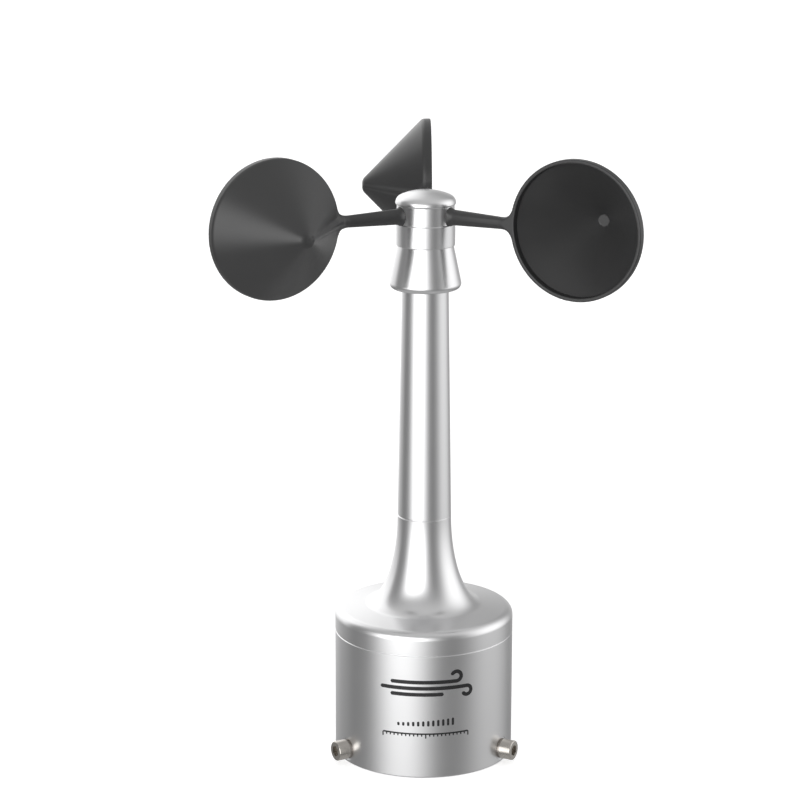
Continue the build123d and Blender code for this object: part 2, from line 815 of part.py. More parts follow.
with BuildPart() as disc_hub:
    with BuildSketch(Plane.XZ):
        with BuildLine():
            Polyline(
                (shaft_radius + press_play, disc_top),
                (disc_flange_radius, disc_top),
                (disc_flange_radius, hub_flange_top),
                (disc_hub_radius, hub_flange_top),
                (disc_hub_radius, hub_top),
                (shaft_radius + press_play, hub_top),
                close=True,
            )
        make_face()
    revolve(axis=Axis.Z)
    with BuildSketch(radial_plane(0, shaft_radius / 2, set_screw_height)):
        Circle(thread_m3_radius)
    extrude(amount=disc_hub_radius, mode=Mode.SUBTRACT)
save(disc_hub, "disc_hub")

with BuildPart() as disc_screw:
    with BuildSketch(radial_plane(0, set_screw_inner_end, set_screw_height)):
        Circle(screw_m3_radius)
    extrude(amount=set_screw_length)
    with BuildSketch(radial_plane(0, set_screw_inner_end + set_screw_length, set_screw_height)):
        RegularPolygon(radius=hexagon_radius(set_screw_flats), side_count=6)
    extrude(amount=-set_screw_length / 2, mode=Mode.SUBTRACT)
save(disc_screw, "disc_screw")

# ============================ connector plate ================================
plate_bottom = ledge_top
plate_top = plate_bottom + plate_thickness
board_bottom = plate_top + standoff_height
board_top = board_bottom + board_thickness

with BuildPart() as connector_plate:
    with BuildSketch(Plane.XY.offset(plate_bottom)):
        Circle(plate_radius)
        Circle(connector_body_radius + 0.2, mode=Mode.SUBTRACT)
        with PolarLocations(wall_screw_circle, 6, start_angle=30):
            Circle(clearance_m3_radius, mode=Mode.SUBTRACT)
    extrude(amount=plate_thickness)
save(connector_plate, "connector_plate")


def m3_screws(seat, length, start_angle):
    """Three round-head screws standing in a circle, their heads above the seat."""
    with BuildPart() as screws:
        with BuildSketch(Plane.XY.offset(seat)):
            with PolarLocations(wall_screw_circle, 3, start_angle=start_angle):
                Circle(head_m3_radius)
        extrude(amount=head_m3_height)
        fillet(screws.edges().group_by(Axis.Z)[-1], radius=head_m3_round)
        with BuildSketch(Plane.XY.offset(seat + head_m3_height)):
            with PolarLocations(wall_screw_circle, 3, start_angle=start_angle):
                RegularPolygon(radius=hexagon_radius(hex_m3_flats), side_count=6)
        extrude(amount=-hex_m3_depth, mode=Mode.SUBTRACT)
        with BuildSketch(Plane.XY.offset(seat)):
            with PolarLocations(wall_screw_circle, 3, start_angle=start_angle):
                Circle(screw_m3_radius)
        extrude(amount=-length)
    return screws


save(m3_screws(plate_top, length=plate_thickness + 6, start_angle=30), "plate_screws")
save(m3_screws(board_top, length=7.0, start_angle=90), "board_screws")

with BuildPart() as board_standoffs:
    with BuildSketch(Plane.XY.offset(plate_top)):
        with PolarLocations(wall_screw_circle, 3, start_angle=90):
            RegularPolygon(radius=hexagon_radius(standoff_flats), side_count=6)
    extrude(amount=standoff_height)
    with BuildSketch(Plane.XY.offset(board_bottom)):
        with PolarLocations(wall_screw_circle, 3, start_angle=90):
            Circle(thread_m3_radius)
    extrude(amount=-standoff_thread_depth, mode=Mode.SUBTRACT)
    with BuildSketch(Plane.XY.offset(plate_top)):
        with PolarLocations(wall_screw_circle, 3, start_angle=90):
            Circle(screw_m3_radius)
    extrude(amount=-plate_thickness - wall_screw_depth)
save(board_standoffs, "board_standoffs")

# ============================ connector ======================================
flange_top = plate_bottom - gasket_thickness
flange_bottom = flange_top - flange_thickness

with BuildPart() as connector_shell:
    with BuildSketch(Plane.XZ):
        with BuildLine():
            Polyline(
                (connector_mouth_radius, connector_bottom),
                (connector_radius, connector_bottom),
                (connector_radius, flange_bottom),
                (connector_flange_radius, flange_bottom),
                (connector_flange_radius, flange_top),
                (connector_body_radius, flange_top),
                (connector_body_radius, connector_body_top),
                (insert_radius + press_play, connector_body_top),
                (insert_radius + press_play, insert_bottom),
                (connector_mouth_radius, insert_bottom),
                close=True,
            )
        make_face()
    revolve(axis=Axis.Z)
    with BuildSketch(Plane.XY.offset(connector_bottom + key_start)):
        with Locations((0, -connector_radius + key_offset)):
            Rectangle(*key_size)
    extrude(until=Until.NEXT)
save(connector_shell, "connector_shell")

with BuildPart() as connector_gasket:
    with BuildSketch(Plane.XY.offset(flange_top)):
        Circle(connector_flange_radius - 0.2)
        Circle(connector_body_radius + 0.1, mode=Mode.SUBTRACT)
    extrude(amount=gasket_thickness)
save(connector_gasket, "connector_gasket")

with BuildPart() as connector_nut:
    with BuildSketch(Plane.XY.offset(plate_top)):
        RegularPolygon(radius=hexagon_radius(nut_flats), side_count=6)
        Circle(connector_body_radius + press_play, mode=Mode.SUBTRACT)
    extrude(amount=nut_height)
save(connector_nut, "connector_nut")

with BuildPart() as connector_insert:
    with BuildSketch(Plane.XY.offset(insert_bottom)):
        Circle(insert_radius)
        with PolarLocations(pin_circle, pin_count, start_angle=30):
            Circle(pin_radius + press_play, mode=Mode.SUBTRACT)
    extrude(amount=insert_top - insert_bottom)
save(connector_insert, "connector_insert")

with BuildPart() as connector_pins:
    with BuildSketch(Plane.XY.offset(pin_bottom)):
        with PolarLocations(pin_circle, pin_count, start_angle=30):
            Circle(pin_radius)
    extrude(amount=pin_top - pin_bottom)
    fillet(connector_pins.edges().group_by(Axis.Z)[0], radius=0.4)
save(connector_pins, "connector_pins")

with BuildPart() as one_lead:
    with BuildLine() as lead_route:
        FilletPolyline(
            (pin_circle, 0, pin_top),
            (pin_circle, 0, pin_top + lead_stub),
            (lead_board_circle, 0, board_bottom - lead_stub),
            (lead_board_circle, 0, board_bottom),
            radius=lead_bend_radius,
        )
    with BuildSketch(Plane.XY.offset(pin_top)):
        with Locations((pin_circle, 0)):
            Circle(lead_radius)
    sweep(path=lead_route.line)

with BuildPart() as connector_leads:
    with PolarLocations(0, pin_count, start_angle=30):
        add(one_lead.part)
save(connector_leads, "connector_leads")

# ============================ circuit board ==================================
with BuildPart() as circuit_board:
    with BuildSketch(Plane.XY.offset(board_bottom)):
        Circle(board_radius)
        with PolarLocations(wall_screw_circle, 3, start_angle=90):
            Circle(clearance_m3_radius, mode=Mode.SUBTRACT)
    extrude(amount=board_thickness)
save(circuit_board, "circuit_board")

gate_slot_bottom = disc_bottom - 1.6
gate_slot_top = disc_top + 1.8
gate_face = disc_radius - 5.5
gate_slot_end = disc_radius + 2.0
gate_back = disc_radius + 6.5
gate_half_width = 5.0
gate_roof = gate_slot_top + 3.2

with BuildPart() as light_gate:
    with BuildSketch(Plane.XZ):
        with BuildLine():
            Polyline(
                (gate_face, board_top),
                (gate_back, board_top),
                (gate_back, gate_roof),
                (gate_face, gate_roof),
                (gate_face, gate_slot_top),
                (gate_slot_end, gate_slot_top),
                (gate_slot_end, gate_slot_bottom),
                (gate_face, gate_slot_bottom),
                close=True,
            )
        make_face()
    extrude(amount=gate_half_width, both=True)
    chamfer(light_gate.edges().group_by(Axis.Z)[-1], length=0.5)
save(light_gate, "light_gate")


def board_block(name, centre, size, height):
    """A boxed component standing on the board."""
    with BuildPart() as block:
        with BuildSketch(Plane.XY.offset(board_top)):
            with Locations(centre):
                Rectangle(*size)
        extrude(amount=height)
        chamfer(block.edges().group_by(Axis.Z)[-1], length=0.3)
    save(block, name)


board_block("driver_chip", (-14, -4), (10, 6.4), 2.2)
board_block("terminal_block", (-8, 14), (15, 8), 5.0)

with BuildPart() as smoothing_capacitor:
    with BuildSketch(Plane.XY.offset(board_top)):
        with Locations((-4, -19)):
            Circle(4.0)
    extrude(amount=7.0)
    fillet(smoothing_capacitor.edges().group_by(Axis.Z)[-1], radius=0.5)
save(smoothing_capacitor, "smoothing_capacitor")
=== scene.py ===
import math

import bmesh
import bpy
import numpy as np
from mathutils import Matrix, Vector


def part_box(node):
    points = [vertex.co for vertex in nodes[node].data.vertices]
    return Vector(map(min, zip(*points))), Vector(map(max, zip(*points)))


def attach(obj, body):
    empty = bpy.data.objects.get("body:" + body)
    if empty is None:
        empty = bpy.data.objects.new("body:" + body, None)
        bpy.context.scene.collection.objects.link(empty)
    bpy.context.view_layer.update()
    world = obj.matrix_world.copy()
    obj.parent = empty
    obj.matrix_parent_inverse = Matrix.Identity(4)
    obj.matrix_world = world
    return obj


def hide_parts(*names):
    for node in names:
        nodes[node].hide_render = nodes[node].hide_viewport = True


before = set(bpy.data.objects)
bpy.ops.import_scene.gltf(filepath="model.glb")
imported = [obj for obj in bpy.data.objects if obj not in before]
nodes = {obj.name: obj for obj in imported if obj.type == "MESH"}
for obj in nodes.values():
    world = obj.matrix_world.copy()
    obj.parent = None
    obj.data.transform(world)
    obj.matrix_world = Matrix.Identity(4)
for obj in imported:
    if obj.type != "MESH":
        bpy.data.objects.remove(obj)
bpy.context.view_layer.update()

# ------------------------------------------------------------------ base housing
# Thick-walled can turned from aluminium bar, bead-blasted and clear anodised. It slips over
# the mast tube; a ledge inside carries the connector plate, and three flats are spot-faced
# near the foot for the clamp screws.
MM = 0.001
base_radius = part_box("base_housing")[1].x / MM
seam_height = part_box("base_housing")[1].z / MM
socket_radius = 35.0
socket_depth = 20.0
ledge_top = 30.0
ledge_bore = 28.0
chamber_radius = 40.5
seam_chamfer = 0.35
foot_round = 0.7
clamp_height = (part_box("clamp_screws")[0].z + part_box("clamp_screws")[1].z) / 2 / MM
clamp_angles = [90.0, 210.0, 330.0]
clamp_hole_radius = 3.0
spot_face_radius = 6.0
spot_face_depth = 0.6
drill_from = 30.0
drill_to = 60.0
drill_facets = 64


def arc(centre, radius, start, end, steps):
    """Points on a circle in the (radius, height) plane, angles in degrees."""
    points = []
    for step in range(steps + 1):
        angle = math.radians(start + (end - start) * step / steps)
        points.append((centre[0] + radius * math.cos(angle), centre[1] + radius * math.sin(angle)))
    return points


def rounded(corners, steps=6):
    """Outline in (radius, height) from corners (radius, height, rounding)."""
    outline = []
    for i, (radius, height, rounding) in enumerate(corners):
        corner = Vector((radius, height))
        if rounding == 0:
            outline.append((radius, height))
            continue
        back = (Vector(corners[i - 1][:2]) - corner).normalized()
        ahead = (Vector(corners[(i + 1) % len(corners)][:2]) - corner).normalized()
        half = back.angle(ahead) / 2
        centre = corner + (back + ahead).normalized() * rounding / math.sin(half)
        first = corner + back * rounding / math.tan(half) - centre
        last = corner + ahead * rounding / math.tan(half) - centre
        start = math.degrees(math.atan2(first.y, first.x))
        turn = (math.degrees(math.atan2(last.y, last.x)) - start + 180) % 360 - 180
        outline += arc(centre, rounding, start, start + turn, steps)
    return outline


def mark_creases(work, degrees=28):
    """Smooth shading, but for edges sharper than the given angle."""
    for edge in work.edges:
        edge.smooth = edge.calc_face_angle(math.pi) < math.radians(degrees)
    for face in work.faces:
        face.smooth = True


def add_piece(name, work):
    """Object in the scene from a bmesh in metres, smooth between its creases."""
    mesh = bpy.data.meshes.new(name)
    mark_creases(work)
    work.to_mesh(mesh)
    work.free()
    piece = bpy.data.objects.new(name, mesh)
    bpy.context.scene.collection.objects.link(piece)
    return piece


def even_normals(piece):
    weighted = piece.modifiers.new("even_normals", "WEIGHTED_NORMAL")
    weighted.keep_sharp = True
    weighted.weight = 100


def turned(name, outline, facets=288):
    """Solid of revolution about the turning axis from a closed outline in millimetres."""
    work = bmesh.new()
    rings = []
    for radius, height in outline:
        ring = []
        for facet in range(facets):
            angle = math.tau * facet / facets
            place = Vector((radius * math.cos(angle), radius * math.sin(angle), height)) * MM
            ring.append(work.verts.new(place))
        rings.append(ring)
    for lower, upper in zip(rings, rings[1:] + rings[:1]):
        for facet in range(facets):
            following = (facet + 1) % facets
            work.faces.new((lower[facet], lower[following], upper[following], upper[facet]))
    bmesh.ops.remove_doubles(work, verts=work.verts, dist=1e-7)
    bmesh.ops.recalc_face_normals(work, faces=work.faces)
    return add_piece(name, work)


def cut_with(piece, cutter):
    """Cuts the piece with the cutter and throws the cutter away."""
    cut = piece.modifiers.new("cut", "BOOLEAN")
    cut.operation = "DIFFERENCE"
    cut.solver = "EXACT"
    cut.object = cutter
    evaluated = piece.evaluated_get(bpy.context.evaluated_depsgraph_get())
    mesh = bpy.data.meshes.new_from_object(evaluated)
    piece.modifiers.remove(cut)
    piece.data = mesh
    bpy.data.objects.remove(cutter)
    work = bmesh.new()
    work.from_mesh(mesh)
    mark_creases(work)
    work.to_mesh(mesh)
    work.free()


def radial_drill(name, angle, height, stations):
    """Stepped round cutter along a radius of the base, from (distance, radius) stations."""
    work = bmesh.new()
    outward = Matrix.Rotation(math.radians(angle), 4, "Z") @ Matrix.Rotation(math.pi / 2, 4, "Y")
    rings = []
    for distance, radius in stations:
        ring = []
        for facet in range(drill_facets):
            turn = math.tau * facet / drill_facets
            local = Vector((radius * math.cos(turn), radius * math.sin(turn), distance)) * MM
            ring.append(work.verts.new(outward @ local + Vector((0, 0, height * MM))))
        rings.append(ring)
    for near, far in zip(rings, rings[1:]):
        for facet in range(drill_facets):
            following = (facet + 1) % drill_facets
            work.faces.new((near[facet], near[following], far[following], far[facet]))
    work.faces.new(rings[0])
    work.faces.new(rings[-1])
    bmesh.ops.recalc_face_normals(work, faces=work.faces)
    return add_piece(name, work)


base = turned(
    "base_can",
    rounded(
        [
            (socket_radius, 0, 0.5),
            (base_radius, 0, foot_round),
            (base_radius, seam_height - seam_chamfer, 0.12),
            (base_radius - seam_chamfer, seam_height, 0.08),
            (chamber_radius, seam_height, 0.3),
            (chamber_radius, ledge_top, 0.4),
            (ledge_bore, ledge_top, 0.3),
            (ledge_bore, socket_depth, 0.3),
            (socket_radius, socket_depth, 0.4),
        ]
    ),
)
face_distance = base_radius - spot_face_depth
drill_stations = [
    (drill_from, clamp_hole_radius),
    (face_distance, clamp_hole_radius),
    (face_distance, spot_face_radius),
    (drill_to, spot_face_radius),
]
for clamp_angle in clamp_angles:
    cut_with(base, radial_drill("spot_drill", clamp_angle, clamp_height, drill_stations))
even_normals(base)


class Shade:
    """An output of a shader node. Sums, differences and products add Math nodes."""

    def __init__(self, tree, socket=None):
        self.tree = tree
        self.socket = socket

    def node(self, kind, sockets=None, out=0, stops=None, **settings):
        """Adds a node: its settings first, then values or links for its sockets."""
        added = self.tree.nodes.new(kind)
        for setting, value in settings.items():
            setattr(added, setting, value)
        if stops:
            ramp = added.color_ramp
            while len(ramp.elements) < len(stops):
                ramp.elements.new(0.5)
            for element, (position, level) in zip(ramp.elements, stops):
                element.position = position
                element.color = (level, level, level, 1)
        for key, value in (sockets or {}).items():
            if isinstance(value, Shade):
                self.tree.links.new(value.socket, added.inputs[key])
            else:
                added.inputs[key].default_value = value
        return Shade(self.tree, added.outputs[out])

    def maths(self, operation, first, second=0.0):
        return self.node("ShaderNodeMath", {0: first, 1: second}, operation=operation)

    def __add__(self, other):
        return self.maths("ADD", self, other)

    __radd__ = __add__

    def __sub__(self, other):
        return self.maths("SUBTRACT", self, other)

    def __rsub__(self, other):
        return self.maths("SUBTRACT", other, self)

    def __mul__(self, other):
        return self.maths("MULTIPLY", self, other)

    __rmul__ = __mul__

    def blend(self, low, high):
        """Colour between low and high, with this value as the share of high."""
        return self.node(
            "ShaderNodeMix",
            {0: self, 6: low, 7: high},
            out=2,
            data_type="RGBA",
            clamp_factor=True,
        )

    def noise(self, point, size, detail=3.0, rough=0.5):
        """Cloudy value from 0 to 1 with lumps of the given size in millimetres."""
        return self.node(
            "ShaderNodeTexNoise",
            {"Vector": point, "Scale": 1 / (size * MM), "Detail": detail, "Roughness": rough},
        )

    def ramp(self, *stops):
        return self.node("ShaderNodeValToRGB", {0: self}, stops=stops)


drift_size = 14.0
smear_size = 3.0


def tint(colour, factor):
    return tuple(min(1.0, channel * factor) for channel in colour) + (1.0,)


def finish_with(name, colour, metallic, roughness, grain, relief, mottle=0.05, gloss_drift=0.07, smear=0.03):
    """Material with a fine grain of the given size and relief in millimetres, a slow drift of
    tone and gloss over the surface, and small handling marks in the gloss."""
    material = bpy.data.materials.new(name)
    material.use_nodes = True
    tree = material.node_tree
    bsdf = tree.nodes["Principled BSDF"]
    start = Shade(tree)
    point = start.node("ShaderNodeTexCoord", out="Object")
    fine = start.noise(point, grain, detail=2.0)
    slow = start.noise(point, drift_size, detail=2.0)
    smears = start.noise(point, smear_size, detail=4.0, rough=0.7).ramp((0.5, 0.0), (0.72, 1.0))
    base_colour = (slow * 0.6 + fine * 0.4).blend(tint(colour, 1 - mottle), tint(colour, 1 + mottle))
    gloss = roughness + (slow - 0.5) * gloss_drift + (fine - 0.5) * gloss_drift + smears * smear
    bump = start.node("ShaderNodeBump", {"Height": fine, "Distance": relief * MM, "Strength": 1.0})
    bsdf.inputs["Metallic"].default_value = metallic
    tree.links.new(base_colour.socket, bsdf.inputs["Base Color"])
    tree.links.new(gloss.socket, bsdf.inputs["Roughness"])
    tree.links.new(bump.socket, bsdf.inputs["Normal"])
    return material


def dress(piece, material):
    piece.data.materials.clear()
    piece.data.materials.append(material)


def dress_node(node_name, material):
    """A frame node keeps its mesh and gets a better finish in its slots."""
    for slot in nodes[node_name].material_slots:
        slot.material = material


anodised = finish_with(
    "blasted_anodised_aluminium",
    (0.80, 0.80, 0.805),
    metallic=1.0,
    roughness=0.285,
    grain=0.35,
    relief=0.005,
    mottle=0.02,
    gloss_drift=0.02,
    smear=0.008,
)
dress(base, anodised)
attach(base, "stator")
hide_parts("base_housing")

# ------------------------------------------------------------------ printed mark
# Black two-part ink, pad-printed on the front of the base: a plain three-stroke wind sign,
# a row of rising bars below it, and a rule with even ticks.
ink_thickness = 0.03
ink_root = -0.02
sign_height = 48.6
sign_stroke = 1.9
upper_gust = (36.0, 1.9, 2.5)
lower_gust = (47.0, -1.3, 2.3)
short_gust = (-18.0, 9.0, -4.5)
curl_degrees = 255
curl_steps = 60
bars_height = 27.4
bar_count = 12
bar_gap = 2.5
bar_stroke = 1.2
bar_sizes = (1.8, 4.0)
rule_height = 23.4
rule_length = 44.0
rule_stroke = 0.8
tick_count = 23
tick_stroke = 0.65
long_tick_every = 11
long_tick = 2.4
short_tick = 1.4


def wrapped(x, z, proud):
    """Point on the front of the base: x is the distance round it, in millimetres."""
    angle = x / base_radius - math.pi / 2
    reach = base_radius + proud
    return Vector((reach * math.cos(angle), reach * math.sin(angle), z)) * MM


def ink_stroke(work, path, width):
    """A round-ended stroke of ink along a path of (x, z) points."""
    points = [Vector(p) for p in path]
    lengths = [0.0]
    for a, b in zip(points, points[1:]):
        lengths.append(lengths[-1] + (b - a).length)
    total = lengths[-1]
    half = width / 2
    rows = []
    for i, point in enumerate(points):
        along = (points[min(i + 1, len(points) - 1)] - points[max(i - 1, 0)]).normalized()
        side = Vector((-along.y, along.x))
        inset = half - min(lengths[i], total - lengths[i], half)
        reach = math.sqrt(max(half**2 - inset**2, 0.0)) + 0.01
        row = []
        for place, levels in ((-reach, (ink_root, ink_thickness)), (reach, (ink_thickness, ink_root))):
            spot = point + side * place
            row += [work.verts.new(wrapped(spot.x, spot.y, proud)) for proud in levels]
        rows.append(row)
    for row, following in zip(rows, rows[1:]):
        for k in range(4):
            after = (k + 1) % 4
            work.faces.new((row[k], row[after], following[after], following[k]))
    work.faces.new(rows[0])
    work.faces.new(rows[-1])


def straight(start, end, steps=60):
    return [Vector(start).lerp(Vector(end), step / steps) for step in range(steps + 1)]


def curled(length, z, curl, upward):
    """Straight stroke that ends in a curl, the shape of a gust on a weather map."""
    way = 1 if upward else -1
    curl_start = length / 2 - curl
    path = straight((-length / 2, z), (curl_start, z))
    for step in range(1, curl_steps + 1):
        turn = math.radians(curl_degrees) * step / curl_steps
        rise = way * curl * (1 - math.cos(turn))
        path.append(Vector((curl_start + curl * math.sin(turn), z + rise)))
    return path


ink_work = bmesh.new()
for (gust_length, gust_rise, gust_curl), upward in ((upper_gust, True), (lower_gust, False)):
    ink_stroke(ink_work, curled(gust_length, sign_height + gust_rise, gust_curl, upward), sign_stroke)
short_start, short_end, short_rise = short_gust
short_z = sign_height + short_rise
ink_stroke(ink_work, straight((short_start, short_z), (short_end, short_z)), sign_stroke)
for bar in range(bar_count):
    bar_x = (bar - (bar_count - 1) / 2) * bar_gap
    bar_size = bar_sizes[0] + (bar_sizes[1] - bar_sizes[0]) * bar / (bar_count - 1)
    bar_path = straight((bar_x, bars_height), (bar_x, bars_height + bar_size), 16)
    ink_stroke(ink_work, bar_path, bar_stroke)
rule_path = straight((-rule_length / 2, rule_height), (rule_length / 2, rule_height), 200)
ink_stroke(ink_work, rule_path, rule_stroke)
for tick in range(tick_count):
    tick_x = rule_length * (tick / (tick_count - 1) - 0.5)
    tick_size = short_tick if tick % long_tick_every else long_tick
    tick_path = straight((tick_x, rule_height), (tick_x, rule_height - tick_size), 12)
    ink_stroke(ink_work, tick_path, tick_stroke)
bmesh.ops.recalc_face_normals(ink_work, faces=ink_work.faces)
printed_mark = add_piece("printed_mark", ink_work)
dress(printed_mark, finish_with("printing_ink", (0.012, 0.012, 0.013), 0.0, 0.5, 0.2, 0.004))
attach(printed_mark, "stator")

# ------------------------------------------------------------------ clamp screws and washers
# Three socket-head screws of stainless steel, turned and rolled, that grip the mast through
# the foot of the base. A split spring washer sits under each head.
stainless = finish_with("turned_stainless", (0.60, 0.57, 0.53), 1.0, 0.24, 0.25, 0.01, 0.08, 0.12)
dress_node("clamp_screws", stainless)
washer_steel = finish_with("spring_washer_steel", (0.42, 0.39, 0.36), 1.0, 0.34, 0.3, 0.012, 0.08)
dress_node("lock_washers", washer_steel)

# ------------------------------------------------------------------ upper housing
# Bell turned from the same bar: a rounded shoulder, a shallow slope and a long sweep up to
# the neck. Its spigot slides into the base on a rubber ring.
shoulder_round = 4.5
shoulder_slope = math.radians(7.0)
shoulder_start = 71.7
neck_radius = 13.5
column_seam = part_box("bell_housing")[1].z / MM
sweep_width = 17.2
sweep_height = 46.4
bell_spigot_radius = 40.45
bell_spigot_bore = 37.0
bell_spigot_foot = 54.0
neck_bore = 11.0
bell_hollow = [
    (neck_bore, 98.0, 0.5),
    (14.5, 91.0, 3.0),
    (18.0, 81.5, 3.0),
    (26.0, 75.0, 3.0),
    (34.0, 71.5, 2.0),
    (bell_spigot_bore, 68.5, 1.0),
]
shoulder_corner = (
    base_radius,
    shoulder_start + shoulder_round / math.cos(shoulder_slope) - shoulder_round * math.tan(shoulder_slope),
    shoulder_round,
)
sweep_end = math.atan2(sweep_height * math.cos(shoulder_slope), sweep_width * math.sin(shoulder_slope))
sweep_steps = 56
bell_round_steps = 10
bell_outline = rounded(
    [
        (bell_spigot_radius, bell_spigot_foot, 0.4),
        (bell_spigot_radius, seam_height, 0.2),
        (base_radius - seam_chamfer, seam_height, 0.08),
        (base_radius, seam_height + seam_chamfer, 0.12),
        shoulder_corner,
        (
            neck_radius + sweep_width * (1 - math.cos(sweep_end)),
            column_seam - sweep_height * math.sin(sweep_end),
            0,
        ),
        (bell_spigot_bore, bell_spigot_foot, 0.4),
    ],
    steps=bell_round_steps,
)[: -bell_round_steps - 1]
for step in range(1, sweep_steps + 1):
    turn = sweep_end * (1 - step / sweep_steps)
    bell_outline.append(
        (
            neck_radius + sweep_width * (1 - math.cos(turn)),
            column_seam - sweep_height * math.sin(turn),
        )
    )
bell_outline[-1] = (neck_radius, column_seam - seam_chamfer)
bell_outline += rounded(
    [
        (neck_radius - seam_chamfer, column_seam, 0),
        (neck_bore, column_seam, 0),
        *bell_hollow,
        (bell_spigot_bore, bell_spigot_foot, 0),
    ]
)
bell = turned("upper_bell", bell_outline)
even_normals(bell)
dress(bell, anodised)
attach(bell, "stator")
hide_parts("bell_housing")

# ------------------------------------------------------------------ seals
# Moulded rubber rings and a punched gasket, black and slightly dusty, that keep rain out of
# the housing joints and round the connector.
seal_rubber = finish_with("seal_rubber", (0.022, 0.022, 0.023), 0.0, 0.62, 0.4, 0.01, 0.15)
for seal in ("housing_o_ring", "column_o_ring", "connector_gasket"):
    dress_node(seal, seal_rubber)

# ------------------------------------------------------------------ connector and its plate
# A turned plate closes the base. The round connector passes through it from below, held by
# a thin nut, with gold-flashed pins in a moulded insert and insulated leads to the board.
dress_node("connector_plate", anodised)
nickel = finish_with("satin_nickel", (0.62, 0.59, 0.53), 1.0, 0.26, 0.3, 0.006, 0.04)
for plated in ("connector_shell", "connector_nut", "board_standoffs"):
    dress_node(plated, nickel)
for screws in ("plate_screws", "board_screws", "disc_screw", "drive_pin", "arm_pins"):
    dress_node(screws, stainless)
black_plastic = finish_with("moulded_black", (0.02, 0.02, 0.022), 0.0, 0.45, 0.3, 0.01, 0.1)
for moulding in ("connector_insert", "light_gate", "driver_chip"):
    dress_node(moulding, black_plastic)
gold = finish_with("gold_flash", (0.86, 0.62, 0.26), 1.0, 0.22, 0.15, 0.004, 0.05)
dress_node("connector_pins", gold)
insulation = finish_with("red_insulation", (0.45, 0.05, 0.04), 0.0, 0.4, 0.4, 0.01, 0.06)
dress_node("connector_leads", insulation)

# ------------------------------------------------------------------ circuit board
# Green glass-fibre laminate with the weave just visible under the solder mask. It carries
# the light gate, the line driver, a smoothing capacitor and the lead terminals.
laminate = finish_with("solder_mask", (0.02, 0.17, 0.07), 0.0, 0.32, 0.5, 0.02, 0.18)
dress_node("circuit_board", laminate)
can_aluminium = finish_with("capacitor_can", (0.7, 0.7, 0.72), 1.0, 0.28, 0.3, 0.004, 0.04)
dress_node("smoothing_capacitor", can_aluminium)
terminal_plastic = finish_with("terminal_green", (0.06, 0.30, 0.12), 0.0, 0.42, 0.3, 0.01, 0.08)
dress_node("terminal_block", terminal_plastic)

# ------------------------------------------------------------------ column
# Slim tapered tube turned from bar, seated in the neck on a second rubber ring. Both ball
# bearings of the shaft are held in its bore by snap rings.
column_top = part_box("column_tube")[1].z / MM
column_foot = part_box("column_tube")[0].z / MM
column_taper = 0.0168
column_spigot_radius = 10.98
bearing_seat_radius = 8.0
column_bore = 7.4
upper_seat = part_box("upper_bearing_outer_race")[0].z / MM
lower_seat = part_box("lower_bearing_outer_race")[1].z / MM
column = turned(
    "tapered_column",
    rounded(
        [
            (column_spigot_radius, column_foot, 0.4),
            (column_spigot_radius, column_seam, 0),
            (neck_radius - seam_chamfer, column_seam, 0.08),
            (neck_radius, column_seam + seam_chamfer, 0.12),
            (neck_radius - column_taper * (column_top - column_seam), column_top, 0.4),
            (bearing_seat_radius, column_top, 0.2),
            (bearing_seat_radius, upper_seat, 0),
            (column_bore, upper_seat, 0),
            (column_bore, lower_seat, 0),
            (bearing_seat_radius, lower_seat, 0),
            (bearing_seat_radius, column_foot, 0.2),
        ]
    ),
)
even_normals(column)
dress(column, anodised)
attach(column, "stator")
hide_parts("column_tube")

# ------------------------------------------------------------------ bearings
# Shielded ball bearings of polished chrome steel with brass cages. Snap rings of dark spring
# steel hold them, and a dished spring below the lower one takes up the play.
bearing_steel = finish_with("polished_bearing_steel", (0.66, 0.66, 0.67), 1.0, 0.12, 0.2, 0.002, 0.02, 0.03)
etched_steel = finish_with("etched_sheet", (0.5, 0.5, 0.5), 1.0, 0.3, 0.3, 0.004, 0.04)
cage_brass = finish_with("cage_brass", (0.72, 0.52, 0.22), 1.0, 0.3, 0.3, 0.004, 0.05)
spring_steel = finish_with("phosphated_steel", (0.10, 0.095, 0.09), 1.0, 0.45, 0.3, 0.006, 0.1)
for bearing in ("upper_bearing", "lower_bearing"):
    for ground in ("outer_race", "inner_race", "balls"):
        dress_node(f"{bearing}_{ground}", bearing_steel)
    dress_node(f"{bearing}_shields", etched_steel)
    dress_node(f"{bearing}_cage", cage_brass)
for ring in ("bearing_circlips", "shaft_circlips", "preload_spring"):
    dress_node(ring, spring_steel)

# ------------------------------------------------------------------ shaft and slotted disc
# Ground stainless shaft the whole height of the column. A slotted disc of etched steel on a
# small aluminium hub turns in the light gate, held by a set screw.
dress_node("shaft", stainless)
dress_node("chopper_disc", etched_steel)
bare_aluminium = finish_with("turned_aluminium", (0.72, 0.72, 0.73), 1.0, 0.3, 0.3, 0.006, 0.03)
dress_node("disc_hub", bare_aluminium)

